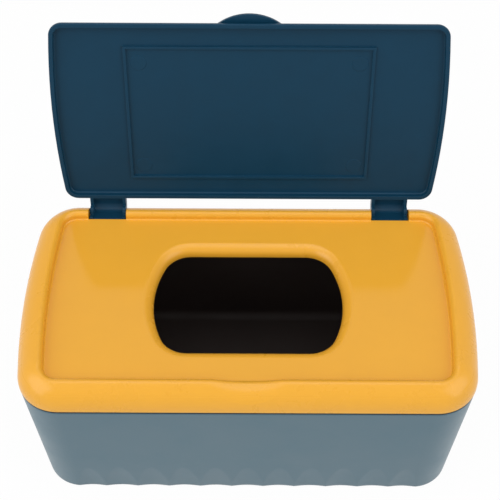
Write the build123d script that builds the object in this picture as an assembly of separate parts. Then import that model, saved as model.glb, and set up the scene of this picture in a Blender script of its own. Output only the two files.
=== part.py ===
from build123d import *
from math import atan, atan2, cos, degrees, pi, radians, sin, sqrt, tan
import os

# Baby wipes box: an open-topped tub, a cover that sits on it, and a lid hinged to the cover.
# Millimetres. +X right, +Y to the hinge side, +Z up. The origin is the centre of the base,
# on the surface that the box stands on. The lid is modelled open, leaning back on its stop.

# Tub
tub_foot_width = 190.6
tub_foot_depth = 100.4
tub_foot_side_radius = 422.0
tub_foot_corner = 16.8
tub_height = 71.5
tub_wall = 2.4
tub_floor = 2.4
tub_edge_round = 1.0
tub_inner_round = 4.0
gate_dimple_radius = 6.0
gate_dimple_depth = 0.5

# Flutes pressed into the foot of the tub's walls
flute_pitch = 14.6
end_flute_width = 13.1
front_flutes = 11
side_flutes = 4
flute_depth = 0.75
flute_fade_height = 16.0

# Foot pads
pad_radius = 6.0
pad_thickness = 1.5
pad_inset = 24.0
pad_clearance = 0.1

# Cover
cover_width = 199.6
cover_depth = 108.9
cover_side_radius = 320.0
cover_corner = 18.7
cover_height = 13.0
skirt_height = 0.6
shell_wall = 2.0
edge_search_gap = 0.05
panel_drop = 4.6
seam_inset = 0.15

# Seat of the cover on the tub
seat_clearance = 0.5
upstand_wall = 1.4
upstand_overlap = 2.5
seal_thickness = 1.2
seal_setback = 0.1

# Recess in the cover that the lid closes into
recess_side_rim = 12.15
recess_end_rim = 9.8
recess_side_radius = 372.0
recess_corner = 6.4
recess_edge_round = 2.1
recess_foot_round = 0.7

# Opening in the panel that the wipes are pulled through
opening_width = 83.6
opening_depth = 54.6
opening_side_radius = 48.6
opening_corner = 12.6
opening_offset = -1.0
opening_round = 4.6
flange_drop = 5.6
flange_end_round = 0.6

# Finger scoop in the cover's front rim
scoop_depth = 2.8
scoop_width = 32.0
scoop_section_radius = 16.0
scoop_blend = 8.0

# Hinge
hinge_x = 65.8
hinge_inset = 4.05
hinge_rise = -0.65
open_angle = 104.0
slot_width = 17.6
slot_sweep_gap = 0.25
cheek_wall = 2.0
pocket_wall = 1.4
notch_gap = 0.5
trunnion_radius = 1.0
trunnion_length = 1.6
trunnion_clearance = 0.08

# Lid
lid_side_gap = 0.4
lid_end_gap = 0.6
lid_thickness = 4.2
lid_lift = 0.2
lid_skin = 1.8
lid_lip = 1.9
lid_outer_round = 3.6
lid_lip_round = 0.5
lid_corner = 5.9
lip_foot_round = 0.8
rib_width = 108.7
rib_depth = 66.6
rib_offset = 0.4
rib_wall = 1.2
rib_height = 0.9
tab_chord = 23.3
tab_reach = 3.25
tab_thickness = 1.3

# Lid arms
arm_width = 16.6
arm_cheek = 1.5
arm_root = 4.0
arm_round = 5.0
arm_leg_wall = 1.4
arm_eye_radius = 2.6
arm_tip_gap = 0.25
arm_tip_sink = 0.1

# Levels and places that follow from the sizes above
skirt_z = tub_height + seal_thickness
crown_z = skirt_z + cover_height
panel_z = crown_z - panel_drop
rim_round = cover_height - skirt_height
hinge_z = panel_z + hinge_rise
hinge_y = cover_depth / 2 - hinge_inset
recess_width = cover_width - 2 * recess_side_rim
recess_depth = cover_depth - 2 * recess_end_rim
recess_rear_y = recess_depth / 2
recess_front_y = -recess_depth / 2
lid_bottom_z = panel_z + lid_lift
lid_top_z = lid_bottom_z + lid_thickness

cover_outline = (cover_width, cover_depth, cover_side_radius, cover_corner)
tub_foot_outline = (tub_foot_width, tub_foot_depth, tub_foot_side_radius, tub_foot_corner)
recess_outline = (recess_width, recess_depth, recess_side_radius, recess_corner)
opening_outline = (opening_width, opening_depth, opening_side_radius, opening_corner)
lid_outline = (
    recess_width - 2 * lid_side_gap,
    recess_depth - 2 * lid_end_gap,
    recess_side_radius - lid_side_gap,
    lid_corner,
)
open_lid = Pos(0, hinge_y, hinge_z) * Rot(-open_angle, 0, 0) * Pos(0, -hinge_y, -hinge_z)


def inset(outline, gap):
    """The same outline drawn parallel, inside by gap, or outside where gap is negative."""
    width, depth, side_radius, corner = outline
    return (width - 2 * gap, depth - 2 * gap, side_radius - gap, corner - gap)


def corner_centre(outline):
    """Centre of the corner arc in the quarter where X and Y are positive."""
    width, depth, side_radius, corner = outline
    rise = depth / 2 - corner
    side_centre = width / 2 - side_radius
    return side_centre + sqrt((side_radius - corner) ** 2 - rise**2), rise


def side_x(outline, y):
    """Half width of the outline at y, on its bowed side."""
    width, _, side_radius, _ = outline
    return width / 2 - side_radius + sqrt(side_radius**2 - y**2)


def bulged_face(outline, y=0.0, z=0.0):
    """Straight front and rear edges, ends that bow out as arcs, and tangent corner arcs."""
    width, depth, side_radius, corner = outline
    half = depth / 2
    side_centre = width / 2 - side_radius
    centre_x, centre_y = corner_centre(outline)
    turn = atan2(centre_y, centre_x - side_centre)
    tangent = (side_centre + side_radius * cos(turn), side_radius * sin(turn))
    middle = (turn + pi / 2) / 2
    bend = (centre_x + corner * cos(middle), centre_y + corner * sin(middle))
    edges = [
        Line((-centre_x, -half), (centre_x, -half)),
        ThreePointArc((centre_x, -half), (bend[0], -bend[1]), (tangent[0], -tangent[1])),
        ThreePointArc((tangent[0], -tangent[1]), (width / 2, 0), tangent),
        ThreePointArc(tangent, bend, (centre_x, half)),
        Line((centre_x, half), (-centre_x, half)),
        ThreePointArc((-centre_x, half), (-bend[0], bend[1]), (-tangent[0], tangent[1])),
        ThreePointArc((-tangent[0], tangent[1]), (-width / 2, 0), (-tangent[0], -tangent[1])),
        ThreePointArc((-tangent[0], -tangent[1]), (-bend[0], -bend[1]), (-centre_x, -half)),
    ]
    return Pos(0, y, z) * Face(Wire(edges))


def prism(outline, y, low, high):
    """The outline raised from one level to another."""
    return extrude(bulged_face(outline, y, low), high - low)


def level_faces(shape, z):
    """The flat faces of the shape that lie at level z."""
    level = shape.faces().filter_by(Axis.Z)
    return level.filter_by(lambda face: abs(face.center().Z - z) < 0.01)


def bar_along_x(radius, length, x, y, z):
    """A round bar along X, centred at the given point."""
    return Pos(x, y, z) * Rot(0, 90, 0) * Cylinder(radius, length)


def flute_cutter(width, lean, reach):
    """A tall round bar against a wall that leans out by lean degrees. It bites flute_depth at
    the foot and runs out of the wall at flute_fade_height. The wall's foot is the X axis."""
    radius = (width**2 / 4 + flute_depth**2) / (2 * flute_depth)
    tilt = lean + degrees(atan(flute_depth / flute_fade_height))
    return Pos(0, flute_depth - radius, 0) * Rot(tilt, 0, 0) * Cylinder(radius, 2 * reach)


def flute_centres(count, end_width):
    """Places of a row of flutes, with its two end ones narrower, and each one's width."""
    middle = (count - 1) / 2
    rows = []
    for k in range(count):
        if abs(k - middle) == middle:
            shift = (flute_pitch - end_width) / 2
            place = (middle * flute_pitch - shift) * (1 if k > middle else -1)
            rows.append((place, end_width))
        else:
            rows.append(((k - middle) * flute_pitch, flute_pitch))
    return rows


def pad_places():
    """Centres of the four foot pads."""
    x = tub_foot_width / 2 - pad_inset
    y = tub_foot_depth / 2 - pad_inset
    return {
        "foot_pad_front_left": (-x, -y),
        "foot_pad_front_right": (x, -y),
        "foot_pad_rear_left": (-x, y),
        "foot_pad_rear_right": (x, y),
    }


def cut_flutes(body, top_outline):
    """Rows of flutes on all four walls of the tub."""
    reach = 1.3 * flute_fade_height
    lean = degrees(atan((top_outline[1] - tub_foot_depth) / 2 / tub_height))
    for place, width in flute_centres(front_flutes, end_flute_width):
        bar = Pos(place, -tub_foot_depth / 2, 0) * flute_cutter(width, lean, reach)
        body -= bar
        body -= Rot(0, 0, 180) * bar
    for place, width in flute_centres(side_flutes, flute_pitch):
        low = side_x(tub_foot_outline, place)
        high = side_x(top_outline, place)
        lean = degrees(atan((high - low) / tub_height))
        face_turn = degrees(place / tub_foot_side_radius)
        bar = Pos(low, place, 0) * Rot(0, 0, 90 + face_turn) * flute_cutter(width, lean, reach)
        body -= bar
        body -= Rot(0, 0, 180) * bar
    return body


def make_tub():
    """The tub: tapering walls, a stepped rim that the cover's skirt stands round, flutes."""
    top_outline = inset(cover_outline, seam_inset)
    upstand_outline = inset(cover_outline, shell_wall + seat_clearance)
    bore_outline = inset(upstand_outline, upstand_wall)
    upstand_top = skirt_z + upstand_overlap
    body = loft([bulged_face(tub_foot_outline), bulged_face(top_outline, z=tub_height)])
    body = fillet(level_faces(body, 0).edges(), tub_edge_round)
    body = cut_flutes(body, top_outline)
    body += prism(upstand_outline, 0, tub_height, upstand_top)
    low = bulged_face(inset(tub_foot_outline, tub_wall), z=tub_floor)
    high = bulged_face(bore_outline, z=tub_height)
    hollow = loft([low, high])
    hollow = fillet(level_faces(hollow, tub_floor).edges(), tub_inner_round)
    body -= hollow
    body -= prism(bore_outline, 0, tub_height, upstand_top)
    notch_width = slot_width + 2 * (cheek_wall + notch_gap)
    notch_low = pocket_floor_z() - notch_gap
    for x in (-hinge_x, hinge_x):
        notch = Box(notch_width, cover_depth / 2, upstand_top - notch_low)
        body -= Pos(x, cover_depth / 2, (upstand_top + notch_low) / 2) * notch
    for x, y in pad_places().values():
        body -= Pos(x, y, pad_thickness / 2) * Cylinder(pad_radius + pad_clearance, pad_thickness)
    body -= Pos(0, 0, gate_dimple_depth / 2) * Cylinder(gate_dimple_radius, gate_dimple_depth)
    return body


def make_foot_pad(x, y):
    """A round pad let into the tub's underside, flush with it."""
    pad = Pos(x, y, pad_thickness / 2) * Cylinder(pad_radius, pad_thickness)
    return pad


def make_seal():
    """The thin ring in the seam between the tub's shoulder and the cover's skirt."""
    outer = inset(cover_outline, seam_inset + seal_setback)
    inner = inset(cover_outline, shell_wall)
    ring = prism(outer, 0, tub_height, tub_height + seal_thickness)
    return ring - prism(inner, 0, tub_height, tub_height + seal_thickness)


def closed_from_open(y, z):
    """Where a point of the open lid comes to when the lid is closed, both as (y, z)."""
    turn = radians(open_angle)
    across = y - hinge_y
    up = z - hinge_z
    closed_y = hinge_y + across * cos(turn) - up * sin(turn)
    closed_z = hinge_z + across * sin(turn) + up * cos(turn)
    return closed_y, closed_z


def leg_tip():
    """Inner and outer corner of a closed arm's tip, as (y, z). When the lid is open the tip
    stands upright against the slot's front wall, just under the level of the panel."""
    inner = closed_from_open(recess_rear_y + arm_tip_gap, panel_z - arm_tip_sink)
    outer_y = inner[0] + arm_leg_wall
    outer_z = inner[1] - arm_leg_wall / tan(radians(open_angle))
    return inner, (outer_y, outer_z)


def slot_radius():
    """Radius about the hinge axis that the arm's tip sweeps, with its clearance."""
    outer_y, outer_z = leg_tip()[1]
    return sqrt((outer_y - hinge_y) ** 2 + (outer_z - hinge_z) ** 2) + slot_sweep_gap


def pocket_floor_z():
    """Underside of the pocket that closes each hinge slot off from the inside of the box."""
    return hinge_z - slot_radius() - pocket_wall


def scoop_bar(grow):
    """A barrel turned about an axis along X over the recess's front wall. Its section is a
    circle, and its length bows so that it is scoop_width wide at the crown's level."""
    radius = scoop_section_radius + grow
    bow = (scoop_width**2 / 4 + scoop_depth**2) / (2 * scoop_depth) + grow
    half = sqrt(bow**2 - (bow - radius) ** 2)
    axis_z = crown_z - scoop_depth + scoop_section_radius
    arc = ThreePointArc((-half, 0, 0), (0, 0, -radius), (half, 0, 0))
    face = make_face([arc, Line((half, 0, 0), (-half, 0, 0))])
    return Pos(0, recess_front_y, axis_z) * revolve(Plane.XZ * Pos(0, 0) * face, Axis.X)


def pocket_stock(x):
    """Solid stock for one hinge pocket: its cheeks, its front wall and its floor."""
    low = pocket_floor_z()
    size = (slot_width + 2 * cheek_wall, cover_depth / 2, crown_z - low)
    stock = Box(*size, align=(Align.CENTER, Align.MIN, Align.MIN))
    return Pos(x, recess_rear_y - pocket_wall, low) * stock


def hinge_slot(x):
    """The space in one hinge pocket that the arm swings in, and the bores for its trunnions."""
    align = (Align.CENTER, Align.MIN, Align.CENTER)
    behind = Box(slot_width, cover_depth, 2 * cover_depth, align=align)
    sweep = bar_along_x(slot_radius(), slot_width, x, hinge_y, hinge_z)
    sweep &= Pos(x, recess_rear_y, hinge_z) * behind
    above = Box(slot_width, cover_depth, cover_height, align=(Align.CENTER, Align.MIN, Align.MIN))
    above = Pos(x, recess_rear_y - recess_foot_round, panel_z) * above
    bore = trunnion_radius + trunnion_clearance
    bores = bar_along_x(bore, slot_width + 2 * cheek_wall, x, hinge_y, hinge_z)
    return sweep + above + bores


def wall_edges(body, outline, y, low, high):
    """The body's edges whose middle lies on the outline's wall between two levels."""
    near = edge_search_gap
    band = prism(inset(outline, -near), y, low, high) - prism(inset(outline, near), y, low, high)
    return body.edges().filter_by(lambda edge: band.is_inside(edge.center()))


def make_hollow():
    """What is taken out of the cover from below: all but its shell, the walls of its recess and
    of its scoop, and the stock of its hinge pockets."""
    top = crown_z - shell_wall
    hollow = prism(inset(cover_outline, shell_wall), 0, skirt_z, top)
    hollow = fillet(level_faces(hollow, top).edges(), rim_round - shell_wall)
    hollow -= prism(inset(recess_outline, -shell_wall), 0, panel_z - shell_wall, crown_z)
    hollow -= scoop_bar(shell_wall)
    for x in (-hinge_x, hinge_x):
        hollow -= pocket_stock(x)
    return hollow


def make_cover():
    """The cover: a domed rim round a sunk panel with the wipes opening, hollow underneath,
    with a finger scoop in front and two hinge slots behind."""
    block = prism(cover_outline, 0, skirt_z, crown_z)
    block = fillet(level_faces(block, crown_z).edges(), rim_round)
    block -= scoop_bar(0)
    scoop_floor = block.faces().filter_by(GeomType.REVOLUTION)
    block = fillet(scoop_floor.edges(), scoop_blend)
    recess = prism(recess_outline, 0, panel_z, crown_z + recess_edge_round)
    recess = fillet(level_faces(recess, panel_z).edges(), recess_foot_round)
    body = block - make_hollow() - recess
    rim_low = crown_z - scoop_depth - recess_edge_round
    rim_edges = wall_edges(body, recess_outline, 0, rim_low, crown_z + recess_edge_round)
    body = fillet(rim_edges, recess_edge_round)

    flange_z = panel_z - flange_drop
    underside = panel_z - shell_wall
    flange_outline = inset(opening_outline, -shell_wall)
    body += prism(flange_outline, opening_offset, flange_z, underside)
    level = edge_search_gap
    roots = wall_edges(body, flange_outline, opening_offset, underside - level, underside + level)
    body = fillet(roots, opening_round - shell_wall)
    body -= prism(opening_outline, opening_offset, flange_z, panel_z)
    body = fillet(level_faces(body, panel_z)[0].inner_wires()[0].edges(), opening_round)
    body = fillet(level_faces(body, flange_z).edges(), flange_end_round)

    for x in (-hinge_x, hinge_x):
        body -= hinge_slot(x)
    return body


def arm_profile():
    """Side view of a closed arm, as a face in Y and Z: back over the hinge, round and down,
    with an eye round the hinge axis."""
    inner, outer = leg_tip()
    root = recess_rear_y - lid_end_gap - arm_root
    bend_y = outer[0] - arm_round
    bend_z = lid_top_z - arm_round
    half_bend = arm_round * sqrt(0.5)
    eye_end = hinge_y - sqrt(arm_eye_radius**2 - (hinge_z - lid_bottom_z) ** 2)
    eye_side = (
        hinge_y - arm_eye_radius * sin(radians(60)),
        hinge_z - arm_eye_radius * cos(radians(60)),
    )
    leg_back = (inner[0] - arm_leg_wall / 2, inner[1])
    edges = [
        Line((root, lid_top_z), (bend_y, lid_top_z)),
        ThreePointArc(
            (bend_y, lid_top_z), (bend_y + half_bend, bend_z + half_bend), (outer[0], bend_z)
        ),
        Line((outer[0], bend_z), outer),
        Line(outer, inner),
        Line(inner, leg_back),
        Line(leg_back, (hinge_y, hinge_z - arm_eye_radius)),
        ThreePointArc((hinge_y, hinge_z - arm_eye_radius), eye_side, (eye_end, lid_bottom_z)),
        Line((eye_end, lid_bottom_z), (root, lid_bottom_z)),
        Line((root, lid_bottom_z), (root, lid_top_z)),
    ]
    return Plane.YZ * Face(Wire(edges))


def make_arm(x):
    """A closed arm: a channel open to the inside of the bend, with a trunnion on each cheek."""
    arm = extrude(Pos(x - arm_width / 2, 0, 0) * arm_profile(), arm_width, dir=(1, 0, 0))
    leg_inside = leg_tip()[0][0]
    front = recess_rear_y - lid_end_gap
    ceiling = lid_top_z - lid_skin
    inner_width = arm_width - 2 * arm_cheek
    size = (inner_width, leg_inside - front, cover_height)
    channel = Pos(x, front, ceiling) * Box(*size, align=(Align.CENTER, Align.MIN, Align.MAX))
    bend = channel.edges().filter_by(Axis.X).sort_by(lambda e: e.center().Y + e.center().Z)[-1]
    arm -= fillet(bend, arm_round - lid_skin)
    pins = bar_along_x(trunnion_radius, arm_width + 2 * trunnion_length, x, hinge_y, hinge_z)
    pins -= bar_along_x(2 * trunnion_radius, inner_width, x, hinge_y, hinge_z)
    return arm + pins


def make_lid():
    """The lid: a thin skin with a lip all round, a low rib, a finger tab and two arms."""
    plate = prism(lid_outline, 0, lid_bottom_z, lid_top_z)
    plate = fillet(level_faces(plate, lid_top_z).edges(), lid_outer_round)
    plate = fillet(level_faces(plate, lid_bottom_z).edges(), lid_lip_round)
    skin_z = lid_top_z - lid_skin
    hollow = prism(inset(lid_outline, lid_lip), 0, lid_bottom_z, skin_z)
    hollow = fillet(level_faces(hollow, skin_z).edges(), lip_foot_round)
    lid = plate
    for x in (-hinge_x, hinge_x):
        lid += make_arm(x)
    lid -= hollow
    rib = Box(rib_width, rib_depth, rib_height) - Box(
        rib_width - 2 * rib_wall, rib_depth - 2 * rib_wall, rib_height
    )
    lid += Pos(0, rib_offset, skin_z - rib_height / 2) * rib
    front_y = recess_front_y + lid_end_gap
    tab_radius = (tab_chord**2 / 4 + tab_reach**2) / (2 * tab_reach)
    tab = Pos(0, front_y - tab_reach + tab_radius, lid_top_z - tab_thickness / 2) * Cylinder(
        tab_radius, tab_thickness
    )
    tab_zone = Box(2 * tab_radius, 2 * lid_outer_round, lid_thickness)
    lid += tab & (Pos(0, front_y, lid_top_z - lid_thickness / 2) * tab_zone)
    return open_lid * lid


def write_parts():
    """Writes each piece as its own STEP file."""
    os.makedirs("parts", exist_ok=True)
    pieces = {
        "tub": make_tub(),
        "cover_seal": make_seal(),
        "top_cover": make_cover(),
        "flip_lid": make_lid(),
    }
    for name, (x, y) in pad_places().items():
        pieces[name] = make_foot_pad(x, y)
    for name, shape in pieces.items():
        export_step(shape, f"parts/{name}.step")


write_parts()
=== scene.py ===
"""Finishes, camera and studio for a moulded baby wipes box, laid out as an add-on."""

import math

import bpy
import numpy as np
from mathutils import Matrix


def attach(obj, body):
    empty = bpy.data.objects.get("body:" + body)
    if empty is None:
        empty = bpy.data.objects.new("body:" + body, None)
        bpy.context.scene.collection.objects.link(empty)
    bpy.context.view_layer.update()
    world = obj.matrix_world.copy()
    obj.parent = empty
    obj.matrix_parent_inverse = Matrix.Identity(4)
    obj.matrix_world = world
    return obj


bl_info = {
    "name": "Baby wipes box",
    "version": (1, 0, 0),
    "blender": (4, 5, 0),
    "location": "3D View > Sidebar > Wipes Box",
    "description": "Finishes and a plain studio for a moulded baby wipes box",
    "category": "Object",
}

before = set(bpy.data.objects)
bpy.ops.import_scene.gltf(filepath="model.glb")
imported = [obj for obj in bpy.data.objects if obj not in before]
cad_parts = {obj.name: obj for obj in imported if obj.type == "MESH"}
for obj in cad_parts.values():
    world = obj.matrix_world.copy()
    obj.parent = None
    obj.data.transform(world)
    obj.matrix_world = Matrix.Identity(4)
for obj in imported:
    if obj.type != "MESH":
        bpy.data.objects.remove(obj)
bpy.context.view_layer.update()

MM = 0.001
PAD_NODES = (
    "foot_pad_front_left",
    "foot_pad_front_right",
    "foot_pad_rear_left",
    "foot_pad_rear_right",
)

# Places on the box, with the lid closed
PANEL_HEIGHT = 81.1 * MM
PANEL_MARGIN = 0.1 * MM
HINGE = np.array((0, 50.4, 80.45)) * MM
LID_OPEN_ANGLE = math.radians(104)
LID_SKIN_HEIGHT = 83.7 * MM

# Ejector marks under the lid's skin
MARK_RADIUS = 3.6 * MM
MARK_HEIGHT = 0.10 * MM
MARK_SINK = 0.02 * MM
MARK_SIDES = 48
MARK_EDGE_RINGS = 5
MARK_PLACES = ((-48.0, -24.9), (48.0, -24.9), (-48.0, 26.9), (48.0, 26.9))

# Edge wear with painted edge highlights, and scuffs. The first value of each range gives 0 and the
# second gives 1
BEVEL_SAMPLES = 6
EDGE_AGREEMENT = (0.985, 0.80)
WORN_AND_HIGHLIT_TINT = 1.6
SCUFF_STRETCH = (0.25, 1.6, 1.0)
SCUFF_TURN = (0.3, 0.2, 0.5)
SCUFF_SCALE = 620
SCUFF_LINES = (0.66, 0.74)
SCUFF_PATCHES = (0.52, 0.7)
SCUFF_ROUGHNESS = 0.05
MOTTLE_CONTRAST = (0.3, 0.7)

# The tub's inside and the cover's panel
INWARD_LEAST = 4 * MM
FLOOR_LEAST_SLOPE = 0.03
FLOOR_HIGHEST = 20 * MM
INSIDE_ADDED_ROUGHNESS = 0.4
PANEL_ADDED_ROUGHNESS = -0.17

# Studio. Places and sizes are in metres, apart from the sensor
FLOOR_HALF_SIDE = 3.0
FLOOR_POINTS = 9
FLOOR_DROP = 0.1 * MM
FLOOR_GREY = 0.86
FLOOR_WHITE_SHARE = 0.965
LIGHT_AIM = (0, 0, 0.08)
SIDE_PLACE = (1.1, -0.6, 0.8)
SIDE_SIZE = 1.25
LEFT_SHARE = 1.15
RIGHT_SHARE = 0.95
OVERHEAD_PLACE = (0, 0, 1.1)
OVERHEAD_SIZE = 0.9
SENSOR_WIDTH_MM = 36
CLIP_NEAR = 0.01
CLIP_FAR = 20


# Settings

class WipesBoxFinish(bpy.types.PropertyGroup):
    """Colours and surface of the box's pieces."""

    tub_colour: bpy.props.FloatVectorProperty(
        name="Tub colour",
        description="Slate blue-grey of the tub",
        subtype="COLOR",
        size=3,
        min=0,
        max=1,
        default=(0.039, 0.110, 0.151),
    )
    # Painted shade: near-black colour that the tub's inner walls and floor take where shade falls
    # inside the tub; they are also made matt.
    tub_inside_painted_shade: bpy.props.FloatVectorProperty(
        name="Tub inside colour",
        description="Darker matt finish of the tub's inner walls and floor",
        subtype="COLOR",
        size=3,
        min=0,
        max=1,
        default=(0.012, 0.004, 0.002),
    )
    cover_colour: bpy.props.FloatVectorProperty(
        name="Cover colour",
        description="Warm yellow of the cover",
        subtype="COLOR",
        size=3,
        min=0,
        max=1,
        default=(0.80, 0.385, 0.031),
    )
    lid_colour: bpy.props.FloatVectorProperty(
        name="Lid colour",
        description="Dark teal of the lid",
        subtype="COLOR",
        size=3,
        min=0,
        max=1,
        default=(0.0045, 0.0385, 0.0765),
    )
    rubber_colour: bpy.props.FloatVectorProperty(
        name="Rubber colour",
        description="Near black of the seal and the foot pads",
        subtype="COLOR",
        size=3,
        min=0,
        max=1,
        default=(0.022, 0.024, 0.026),
    )
    edge_softness: bpy.props.FloatProperty(
        name="Edge softness",
        description="Radius at which moulded edges are shaded as rounded",
        unit="LENGTH",
        default=0.45 * MM,
        min=0,
    )
    grain_size: bpy.props.FloatProperty(
        name="Grain size",
        description="Size of the moulded grain",
        unit="LENGTH",
        default=0.35 * MM,
        min=0.01 * MM,
    )


class WipesBoxStudio(bpy.types.PropertyGroup):
    """The stage that the box is shown on."""

    lens: bpy.props.FloatProperty(
        name="Lens",
        description="Focal length on a sensor 36 mm wide",
        unit="CAMERA",
        default=79.56,
    )
    camera_place: bpy.props.FloatVectorProperty(
        name="Camera place",
        description="Where the camera stands",
        subtype="TRANSLATION",
        unit="LENGTH",
        default=(0.4 * MM, -294.63 * MM, 469.01 * MM),
    )
    camera_pitch: bpy.props.FloatProperty(
        name="Camera pitch",
        description="How far the camera looks below the horizon",
        subtype="ANGLE",
        default=math.radians(50.389),
    )
    camera_yaw: bpy.props.FloatProperty(
        name="Camera yaw",
        description="How far the camera looks to the right of straight ahead",
        subtype="ANGLE",
        default=math.radians(0.052),
    )
    camera_roll: bpy.props.FloatProperty(
        name="Camera roll",
        description="How far the camera is turned about its own line of sight",
        subtype="ANGLE",
        default=math.radians(0.308),
    )
    room_light: bpy.props.FloatProperty(
        name="Room light",
        description="Strength of the even light from all round",
        default=0.38,
        min=0,
    )
    side_power: bpy.props.FloatProperty(
        name="Side softbox power",
        description="Power that the left and the right softbox in front take their shares of",
        subtype="POWER",
        default=9.2,
        min=0,
    )
    overhead_power: bpy.props.FloatProperty(
        name="Overhead softbox power",
        description="Power of the softbox overhead",
        subtype="POWER",
        default=4.1,
        min=0,
    )


# Surfaces worked out with numpy

def add_surface(name, points, solid=False):
    """Makes a mesh from a grid of points, shape (rows, columns, 3). Point (i, j) joins (i + 1, j)
    and (i, j + 1) in one quad. In a solid each row is a closed ring, and the first and the last
    row are filled with one flat face each."""
    rows, columns = points.shape[:2]
    i = np.arange(rows - 1)
    j = np.arange(columns if solid else columns - 1)
    i, j = np.meshgrid(i, j, indexing="ij")
    this_row = i * columns
    next_row = this_row + columns
    next_j = (j + 1) % columns
    corners = (this_row + j, this_row + next_j, next_row + next_j, next_row + j)
    quads = np.stack(corners, -1).reshape(-1, 4)
    mesh = bpy.data.meshes.new(name)
    faces = quads.tolist()
    if solid:
        last = (rows - 1) * columns
        faces.append(list(range(columns))[::-1])
        faces.append(list(range(last, last + columns)))
    mesh.from_pydata(points.reshape(-1, 3).tolist(), [], faces)
    smooth = np.arange(len(faces)) < len(quads)
    mesh.polygons.foreach_set("use_smooth", smooth)
    mesh.update()
    piece = bpy.data.objects.new(name, mesh)
    bpy.context.scene.collection.objects.link(piece)
    return piece


def turned_disc(radius, height):
    """Points of a low disc of revolution, as a grid of rings by angles from its foot to its flat
    top. Its edge is a quarter circle: at turn t a ring's radius is the disc's radius less height
    times (1 - cos t), and it lies height times sin t above the foot."""
    turn = np.linspace(0, np.pi / 2, MARK_EDGE_RINGS)[:, None]
    ring_radius = radius - height + height * np.cos(turn)
    angle = np.linspace(0, 2 * np.pi, MARK_SIDES, endpoint=False)
    x = ring_radius * np.cos(angle)
    y = ring_radius * np.sin(angle)
    z = np.broadcast_to(height * np.sin(turn), x.shape)
    return np.stack((x, y, z), -1)


def opened(points):
    """Points of the closed lid, turned back about its hinge to where the lid stands open: a turn
    about the hinge's own X axis by the lid's angle, which swings the front edge up and back."""
    across, up = points[..., 1] - HINGE[1], points[..., 2] - HINGE[2]
    y = across * np.cos(LID_OPEN_ANGLE) + up * np.sin(LID_OPEN_ANGLE)
    z = up * np.cos(LID_OPEN_ANGLE) - across * np.sin(LID_OPEN_ANGLE)
    return np.stack((points[..., 0], y + HINGE[1], z + HINGE[2]), -1)


def add_ejector_marks(material):
    """The faint round marks that a mould's pins leave inside the lid, near its rib's corners."""
    disc = turned_disc(MARK_RADIUS, MARK_HEIGHT + MARK_SINK)
    facing_down = disc * (1, -1, -1)
    for number, (x, y) in enumerate(MARK_PLACES, 1):
        middle = (x * MM, y * MM, LID_SKIN_HEIGHT + MARK_SINK)
        points = opened(facing_down + middle)
        mark = add_surface(f"ejector_mark_{number}", points, solid=True)
        mark.data.materials.append(material)
        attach(mark, "lid_body")


# Nodes shared by the finishes

def new_group(name, inputs, outputs):
    """An empty shader node group with the sockets listed, and its two end nodes."""
    group = bpy.data.node_groups.new(name, "ShaderNodeTree")
    for label, kind, value in inputs:
        socket = group.interface.new_socket(label, in_out="INPUT", socket_type=kind)
        socket.default_value = value
    for label, kind in outputs:
        group.interface.new_socket(label, in_out="OUTPUT", socket_type=kind)
    start = group.nodes.new("NodeGroupInput")
    end = group.nodes.new("NodeGroupOutput")
    return group, start, end


def add_math(tree, operation, first, second=None):
    """A Math node. Each operand is a socket or a number."""
    node = tree.nodes.new("ShaderNodeMath")
    node.operation = operation
    for slot, operand in enumerate((first, second)):
        if operand is None:
            continue
        if isinstance(operand, bpy.types.NodeSocket):
            tree.links.new(operand, node.inputs[slot])
        else:
            node.inputs[slot].default_value = operand
    return node.outputs[0]


def dot_product(tree, first, second):
    """The dot product of two vector sockets."""
    node = tree.nodes.new("ShaderNodeVectorMath")
    node.operation = "DOT_PRODUCT"
    tree.links.new(first, node.inputs[0])
    tree.links.new(second, node.inputs[1])
    return node.outputs["Value"]


def split_vector(tree, vector):
    """A node whose outputs X, Y and Z are the parts of a vector socket."""
    node = tree.nodes.new("ShaderNodeSeparateXYZ")
    tree.links.new(vector, node.inputs["Vector"])
    return node


def add_noise(tree, place, size, detail=2.0, roughness=0.5):
    """Noise on object coordinates whose largest blobs are about as wide as size, a socket."""
    noise = tree.nodes.new("ShaderNodeTexNoise")
    noise.inputs["Detail"].default_value = detail
    noise.inputs["Roughness"].default_value = roughness
    tree.links.new(place, noise.inputs["Vector"])
    tree.links.new(add_math(tree, "DIVIDE", 1.0, size), noise.inputs["Scale"])
    return noise.outputs["Fac"]


def add_range(tree, value, low, high, to_low=0.0, to_high=1.0):
    """Maps value from low..high to to_low..to_high, clamped."""
    node = tree.nodes.new("ShaderNodeMapRange")
    node.clamp = True
    tree.links.new(value, node.inputs["Value"])
    node.inputs["From Min"].default_value = low
    node.inputs["From Max"].default_value = high
    node.inputs["To Min"].default_value = to_low
    node.inputs["To Max"].default_value = to_high
    return node.outputs["Result"]


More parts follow.
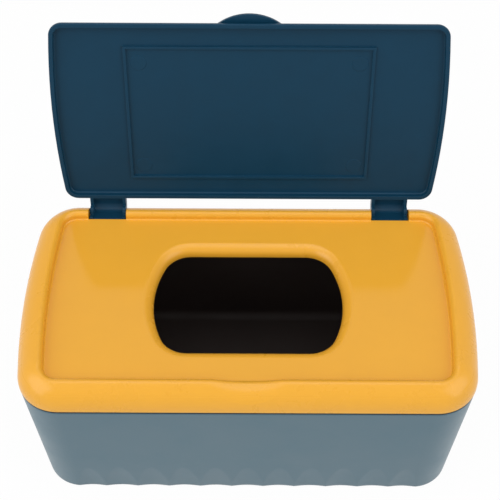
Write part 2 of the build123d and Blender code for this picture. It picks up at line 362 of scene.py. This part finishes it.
def moulded_surface_group():
    """What every moulding shows: a fine grain and slow waves for the bump, mottle in its
    colour, fine scuffs, and its edges, as a mask and as a normal that rounds them."""
    inputs = (
        ("Grain Size", "NodeSocketFloat", 0.35 * MM),
        ("Wave Size", "NodeSocketFloat", 60 * MM),
        ("Mottle Size", "NodeSocketFloat", 14 * MM),
        ("Edge Radius", "NodeSocketFloat", 0.45 * MM),
    )
    outputs = (
        ("Grain", "NodeSocketFloat"),
        ("Wave", "NodeSocketFloat"),
        ("Mottle", "NodeSocketFloat"),
        ("Scuffs", "NodeSocketFloat"),
        ("Edge", "NodeSocketFloat"),
        ("Rounded Normal", "NodeSocketVector"),
    )
    group, start, end = new_group("Moulded Surface", inputs, outputs)
    place = group.nodes.new("ShaderNodeTexCoord").outputs["Object"]
    geometry = group.nodes.new("ShaderNodeNewGeometry")
    rounded = group.nodes.new("ShaderNodeBevel")
    rounded.samples = BEVEL_SAMPLES
    group.links.new(start.outputs["Edge Radius"], rounded.inputs["Radius"])
    agreement = dot_product(group, rounded.outputs["Normal"], geometry.outputs["Normal"])
    edge = add_range(group, agreement, *EDGE_AGREEMENT)

    stretched = group.nodes.new("ShaderNodeMapping")
    stretched.inputs["Scale"].default_value = SCUFF_STRETCH
    stretched.inputs["Rotation"].default_value = SCUFF_TURN
    group.links.new(place, stretched.inputs["Vector"])
    streaks = group.nodes.new("ShaderNodeTexNoise")
    streaks.inputs["Scale"].default_value = SCUFF_SCALE
    streaks.inputs["Detail"].default_value = 1.0
    group.links.new(stretched.outputs["Vector"], streaks.inputs["Vector"])
    blobs = add_noise(group, place, start.outputs["Mottle Size"], detail=1.0)
    lines = add_range(group, streaks.outputs["Fac"], *SCUFF_LINES)
    patches = add_range(group, blobs, *SCUFF_PATCHES)
    scuffs = add_math(group, "MULTIPLY", lines, patches)

    grain = add_noise(group, place, start.outputs["Grain Size"], detail=2.0)
    wave = add_noise(group, place, start.outputs["Wave Size"], detail=0.0)
    mottle = add_noise(group, place, start.outputs["Mottle Size"], detail=4.0, roughness=0.6)
    group.links.new(grain, end.inputs["Grain"])
    group.links.new(wave, end.inputs["Wave"])
    group.links.new(add_range(group, mottle, *MOTTLE_CONTRAST), end.inputs["Mottle"])
    group.links.new(scuffs, end.inputs["Scuffs"])
    group.links.new(edge, end.inputs["Edge"])
    group.links.new(rounded.outputs["Normal"], end.inputs["Rounded Normal"])
    return group


def hollow_side_group():
    """A mask that is 1 on faces that look inwards, to the box's upright axis, and on the floor
    inside the tub, and 0 on its outer faces. A face looks inwards where the dot product of its
    place and its normal, without their heights, lies well below 0."""
    group, _, end = new_group("Hollow Side", (), (("Inside", "NodeSocketFloat"),))
    place = group.nodes.new("ShaderNodeTexCoord").outputs["Object"]
    normal = group.nodes.new("ShaderNodeNewGeometry").outputs["True Normal"]
    outward = dot_product(group, place, normal)
    height = split_vector(group, place).outputs["Z"]
    slope = split_vector(group, normal).outputs["Z"]
    sideways = add_math(group, "SUBTRACT", outward, add_math(group, "MULTIPLY", height, slope))
    inward = add_math(group, "LESS_THAN", sideways, -INWARD_LEAST)
    upward = add_math(group, "GREATER_THAN", slope, FLOOR_LEAST_SLOPE)
    low = add_math(group, "LESS_THAN", height, FLOOR_HIGHEST)
    floor = add_math(group, "MULTIPLY", upward, low)
    group.links.new(add_math(group, "MAXIMUM", inward, floor), end.inputs["Inside"])
    return group


def shared_group(name, build):
    """The node group of that name, built on first use."""
    return bpy.data.node_groups.get(name) or build()


def mix_colour(tree, factor, first, second):
    """Mixes two colours by factor, a socket. Each colour is a socket or three numbers."""
    node = tree.nodes.new("ShaderNodeMix")
    node.data_type = "RGBA"
    factor_input, first_input, second_input = (socket for socket in node.inputs if socket.enabled)
    tree.links.new(factor, factor_input)
    for socket, colour in ((first_input, first), (second_input, second)):
        if isinstance(colour, bpy.types.NodeSocket):
            tree.links.new(colour, socket)
        else:
            socket.default_value = (*colour, 1)
    return next(socket for socket in node.outputs if socket.enabled)


def tint(colour, factor):
    """The colour made lighter or darker by factor."""
    return tuple(min(1.0, channel * factor) for channel in colour)


def add_bump(tree, height, distance, normal):
    """The normal, a socket, tilted by a height map whose full range is distance deep."""
    bump = tree.nodes.new("ShaderNodeBump")
    bump.inputs["Strength"].default_value = 1.0
    bump.inputs["Distance"].default_value = distance
    tree.links.new(height, bump.inputs["Height"])
    tree.links.new(normal, bump.inputs["Normal"])
    return bump.outputs["Normal"]


# Finishes

def moulding_finish(name, colour, finish):
    """A moulded plastic or rubber. finish holds the roughness and how far mottle spreads it, the
    bump's heights and sizes, how deep mottle shows in the colour, the rounding of edges as a
    share of the set softness, how much lighter scuffs (wear) and edges (wear and a painted
    highlight) are, and the specular level."""
    settings = bpy.context.scene.wipes_box_finish
    material = bpy.data.materials.new(name)
    material.use_nodes = True
    tree = material.node_tree
    shader = tree.nodes["Principled BSDF"]
    surface = tree.nodes.new("ShaderNodeGroup")
    surface.node_tree = shared_group("Moulded Surface", moulded_surface_group)
    surface.inputs["Grain Size"].default_value = settings.grain_size
    surface.inputs["Wave Size"].default_value = finish["wave_size"]
    surface.inputs["Mottle Size"].default_value = finish["mottle_size"]
    surface.inputs["Edge Radius"].default_value = settings.edge_softness * finish["edge_share"]

    depth = finish["mottle_depth"]
    darker, lighter = tint(colour, 1 - depth), tint(colour, 1 + depth)
    # Scuffs and edges lighten towards this colour: on scuffs it is wear, on edges it is wear and a
    # painted highlight.
    worn_and_highlit = tint(colour, WORN_AND_HIGHLIT_TINT)
    body = mix_colour(tree, surface.outputs["Mottle"], darker, lighter)
    # Painted highlight along edges, together with edge wear.
    painted_edge_highlight_and_wear = add_math(tree, "MULTIPLY", surface.outputs["Edge"], finish["edge_wear_and_highlight"])
    body = mix_colour(tree, painted_edge_highlight_and_wear, body, worn_and_highlit)
    scuff = add_math(tree, "MULTIPLY", surface.outputs["Scuffs"], finish["scuff_light"])
    body = mix_colour(tree, scuff, body, worn_and_highlit)
    tree.links.new(body, shader.inputs["Base Color"])

    spread = finish["rough_spread"]
    rough = finish["roughness"]
    roughness = add_range(tree, surface.outputs["Mottle"], 0, 1, rough - spread, rough + spread)
    worn = add_math(tree, "MULTIPLY", surface.outputs["Scuffs"], SCUFF_ROUGHNESS)
    roughness = add_math(tree, "ADD", roughness, worn)
    tree.links.new(roughness, shader.inputs["Roughness"])
    shader.inputs["Specular IOR Level"].default_value = finish["specular"]

    normal = surface.outputs["Rounded Normal"]
    normal = add_bump(tree, surface.outputs["Wave"], finish["wave_height"], normal)
    normal = add_bump(tree, surface.outputs["Grain"], finish["grain_height"], normal)
    tree.links.new(normal, shader.inputs["Normal"])
    return material, tree, shader, body


def change_roughness(tree, shader, mask, amount):
    """Adds amount to a finish's roughness where mask, a socket, is 1."""
    before = shader.inputs["Roughness"].links[0].from_socket
    change = add_math(tree, "MULTIPLY", mask, amount)
    tree.links.new(add_math(tree, "ADD", before, change), shader.inputs["Roughness"])


def tub_finish():
    """Slate blue-grey with a satin skin, matt inside, with painted shade there: near black on the
    inner walls and floor.
    """
    settings = bpy.context.scene.wipes_box_finish
    finish = {
        "roughness": 0.36,
        "rough_spread": 0.05,
        "grain_height": 0.006 * MM,
        "wave_size": 45 * MM,
        "wave_height": 0.15 * MM,
        "mottle_size": 22 * MM,
        "mottle_depth": 0.02,
        "edge_share": 4.0,
        "edge_wear_and_highlight": 0.1,
        "scuff_light": 0.12,
        "specular": 0.65,
    }
    material, tree, shader, body = moulding_finish("Tub satin plastic", settings.tub_colour, finish)
    hollow = tree.nodes.new("ShaderNodeGroup")
    hollow.node_tree = shared_group("Hollow Side", hollow_side_group)
    inside = hollow.outputs["Inside"]
    # Painted shade: near black on the tub's inner walls and floor, where shade falls inside the
    # tub.
    body = mix_colour(tree, inside, body, settings.tub_inside_painted_shade)
    tree.links.new(body, shader.inputs["Base Color"])
    change_roughness(tree, shader, inside, INSIDE_ADDED_ROUGHNESS)
    return material


def panel_mask(tree):
    """1 on the cover's sunk panel and 0 on the rest of the cover."""
    place = tree.nodes.new("ShaderNodeTexCoord").outputs["Object"]
    height = split_vector(tree, place).outputs["Z"]
    above = add_math(tree, "SUBTRACT", height, PANEL_HEIGHT)
    return add_math(tree, "LESS_THAN", add_math(tree, "ABSOLUTE", above), PANEL_MARGIN)


def cover_finish():
    """Warm yellow with the slight waviness of a thin moulding, satin, with a polished panel."""
    settings = bpy.context.scene.wipes_box_finish
    finish = {
        "roughness": 0.28,
        "rough_spread": 0.02,
        "grain_height": 0.0012 * MM,
        "wave_size": 48 * MM,
        "wave_height": 0.2 * MM,
        "mottle_size": 16 * MM,
        "mottle_depth": 0.012,
        "edge_share": 0.5,
        "edge_wear_and_highlight": 0.12,
        "scuff_light": 0.03,
        "specular": 0.38,
    }
    material, tree, shader, _ = moulding_finish("Cover plastic", settings.cover_colour, finish)
    change_roughness(tree, shader, panel_mask(tree), PANEL_ADDED_ROUGHNESS)
    return material


def lid_finish():
    """Dark teal with a soft gloss, wavier than the cover over its large flat skin."""
    settings = bpy.context.scene.wipes_box_finish
    finish = {
        "roughness": 0.36,
        "rough_spread": 0.04,
        "grain_height": 0.003 * MM,
        "wave_size": 60 * MM,
        "wave_height": 0.4 * MM,
        "mottle_size": 9 * MM,
        "mottle_depth": 0.03,
        "edge_share": 0.7,
        # A strong painted highlight along the lid's edges and rib.
        "edge_wear_and_highlight": 1.0,
        "scuff_light": 0.10,
        "specular": 0.15,
    }
    return moulding_finish("Lid gloss plastic", settings.lid_colour, finish)[0]


def rubber_finish():
    """Soft near-black rubber."""
    settings = bpy.context.scene.wipes_box_finish
    finish = {
        "roughness": 0.75,
        "rough_spread": 0.08,
        "grain_height": 0.02 * MM,
        "wave_size": 30 * MM,
        "wave_height": 0.05 * MM,
        "mottle_size": 4 * MM,
        "mottle_depth": 0.15,
        "edge_share": 1.0,
        "edge_wear_and_highlight": 0.2,
        "scuff_light": 0.2,
        "specular": 0.3,
    }
    return moulding_finish("Soft rubber", settings.rubber_colour, finish)[0]


def dress(node, material):
    """Gives a carried-over node its finish, with its mesh left as it is."""
    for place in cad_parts[node].material_slots:
        place.material = material


# Operators

class WIPESBOX_OT_finish_tub(bpy.types.Operator):
    """Give the tub its satin slate finish"""

    bl_idname = "wipesbox.finish_tub"
    bl_label = "Finish Tub"

    def execute(self, context):
        dress("tub", tub_finish())
        return {"FINISHED"}


class WIPESBOX_OT_finish_cover(bpy.types.Operator):
    """Give the cover its yellow finish"""

    bl_idname = "wipesbox.finish_cover"
    bl_label = "Finish Cover"

    def execute(self, context):
        dress("top_cover", cover_finish())
        return {"FINISHED"}


class WIPESBOX_OT_finish_lid(bpy.types.Operator):
    """Give the lid its teal finish and its ejector marks"""

    bl_idname = "wipesbox.finish_lid"
    bl_label = "Finish Lid"

    def execute(self, context):
        finish = lid_finish()
        dress("flip_lid", finish)
        add_ejector_marks(finish)
        return {"FINISHED"}


class WIPESBOX_OT_finish_rubber(bpy.types.Operator):
    """Give the seal and the foot pads their rubber finish"""

    bl_idname = "wipesbox.finish_rubber"
    bl_label = "Finish Seal and Pads"

    def execute(self, context):
        rubber = rubber_finish()
        for node in ("cover_seal", *PAD_NODES):
            dress(node, rubber)
        return {"FINISHED"}


# Stage

def background_ray(tree):
    """1 for rays that should see the plain white background: from the camera, or by a mirror
    or clear surface."""
    path = tree.nodes.new("ShaderNodeLightPath")
    seen = add_math(tree, "MAXIMUM", path.outputs["Is Camera Ray"], path.outputs["Is Glossy Ray"])
    return add_math(tree, "MAXIMUM", seen, path.outputs["Is Transmission Ray"])


def add_floor():
    """A large pale floor. To the camera it is mostly plain white and keeps the box's shadow."""
    line = np.linspace(-FLOOR_HALF_SIDE, FLOOR_HALF_SIDE, FLOOR_POINTS)
    x, y = np.meshgrid(line, line, indexing="ij")
    points = np.stack((x, y, np.full_like(x, -FLOOR_DROP)), -1)
    floor = add_surface("studio_floor", points)
    material = bpy.data.materials.new("Pale floor")
    material.use_nodes = True
    tree = material.node_tree
    tree.nodes.remove(tree.nodes["Principled BSDF"])
    matt = tree.nodes.new("ShaderNodeBsdfDiffuse")
    matt.inputs["Color"].default_value = (FLOOR_GREY, FLOOR_GREY, FLOOR_GREY, 1)
    glow = tree.nodes.new("ShaderNodeEmission")
    glow.inputs["Color"].default_value = (1, 1, 1, 1)
    share = add_math(tree, "MULTIPLY", background_ray(tree), FLOOR_WHITE_SHARE)
    blend = tree.nodes.new("ShaderNodeMixShader")
    tree.links.new(share, blend.inputs["Fac"])
    tree.links.new(matt.outputs["BSDF"], blend.inputs[1])
    tree.links.new(glow.outputs["Emission"], blend.inputs[2])
    tree.links.new(blend.outputs["Shader"], tree.nodes["Material Output"].inputs["Surface"])
    floor.data.materials.append(material)


def light_room(strength):
    """Even light from all round, and plain white where it is seen."""
    world = bpy.data.worlds.new("Studio")
    world.use_nodes = True
    tree = world.node_tree
    background = tree.nodes["Background"]
    background.inputs["Color"].default_value = (1, 1, 1, 1)
    level = add_range(tree, background_ray(tree), 0, 1, strength, 1.0)
    tree.links.new(level, background.inputs["Strength"])
    bpy.context.scene.world = world


def add_softbox(name, place, size, power):
    """A square soft light at place that looks at the box's middle."""
    data = bpy.data.lights.new(name, "AREA")
    data.shape = "SQUARE"
    data.size = size
    data.energy = power
    lamp = bpy.data.objects.new(name, data)
    bpy.context.scene.collection.objects.link(lamp)
    back = np.array(place, float) - np.array(LIGHT_AIM, float)
    back /= np.linalg.norm(back)
    right = np.cross((0.0, 1.0, 0.0), back)
    right /= np.linalg.norm(right)
    up = np.cross(back, right)
    turn = Matrix(np.column_stack((right, up, back)).tolist()).to_4x4()
    lamp.matrix_world = Matrix.Translation(place) @ turn


def add_camera(studio):
    """The photograph's viewpoint: straight in front, looking down."""
    data = bpy.data.cameras.new("Photo camera")
    data.sensor_width = SENSOR_WIDTH_MM
    data.lens = studio.lens
    data.clip_start = CLIP_NEAR
    data.clip_end = CLIP_FAR
    camera = bpy.data.objects.new("Photo camera", data)
    bpy.context.scene.collection.objects.link(camera)
    tilt = Matrix.Rotation(math.radians(90) - studio.camera_pitch, 4, "X")
    roll = Matrix.Rotation(studio.camera_roll, 4, "Z")
    yaw = Matrix.Rotation(-studio.camera_yaw, 4, "Z")
    camera.matrix_world = Matrix.Translation(studio.camera_place) @ yaw @ tilt @ roll
    bpy.context.scene.camera = camera


class WIPESBOX_OT_build_stage(bpy.types.Operator):
    """Build the pale floor, the soft light and the camera"""

    bl_idname = "wipesbox.build_stage"
    bl_label = "Build Stage"

    def execute(self, context):
        studio = context.scene.wipes_box_studio
        add_floor()
        light_room(studio.room_light)
        x, y, z = SIDE_PLACE
        for side, sign, share in (("Left", -1, LEFT_SHARE), ("Right", 1, RIGHT_SHARE)):
            add_softbox(f"{side} softbox", (sign * x, y, z), SIDE_SIZE, studio.side_power * share)
        add_softbox("Overhead softbox", OVERHEAD_PLACE, OVERHEAD_SIZE, studio.overhead_power)
        add_camera(studio)
        context.scene.view_settings.view_transform = "Standard"
        return {"FINISHED"}


class WIPESBOX_PT_sidebar(bpy.types.Panel):
    """Lists the steps that dress the box and build its stage"""

    bl_idname = "WIPESBOX_PT_sidebar"
    bl_label = "Wipes Box"
    bl_space_type = "VIEW_3D"
    bl_region_type = "UI"
    bl_category = "Wipes Box"

    def draw(self, context):
        for settings in (context.scene.wipes_box_finish, context.scene.wipes_box_studio):
            for name in settings.__annotations__:
                self.layout.prop(settings, name)
        for step in STEPS:
            self.layout.operator(step.bl_idname)


STEPS = (
    WIPESBOX_OT_finish_tub,
    WIPESBOX_OT_finish_cover,
    WIPESBOX_OT_finish_lid,
    WIPESBOX_OT_finish_rubber,
    WIPESBOX_OT_build_stage,
)
CLASSES = (WipesBoxFinish, WipesBoxStudio, *STEPS, WIPESBOX_PT_sidebar)


def register():
    for item in CLASSES:
        bpy.utils.register_class(item)
    bpy.types.Scene.wipes_box_finish = bpy.props.PointerProperty(type=WipesBoxFinish)
    bpy.types.Scene.wipes_box_studio = bpy.props.PointerProperty(type=WipesBoxStudio)


def unregister():
    del bpy.types.Scene.wipes_box_studio
    del bpy.types.Scene.wipes_box_finish
    for item in reversed(CLASSES):
        bpy.utils.unregister_class(item)


def main():
    register()
    for step in STEPS:
        family, action = step.bl_idname.split(".")
        getattr(getattr(bpy.ops, family), action)()


if __name__ == "__main__":
    main()
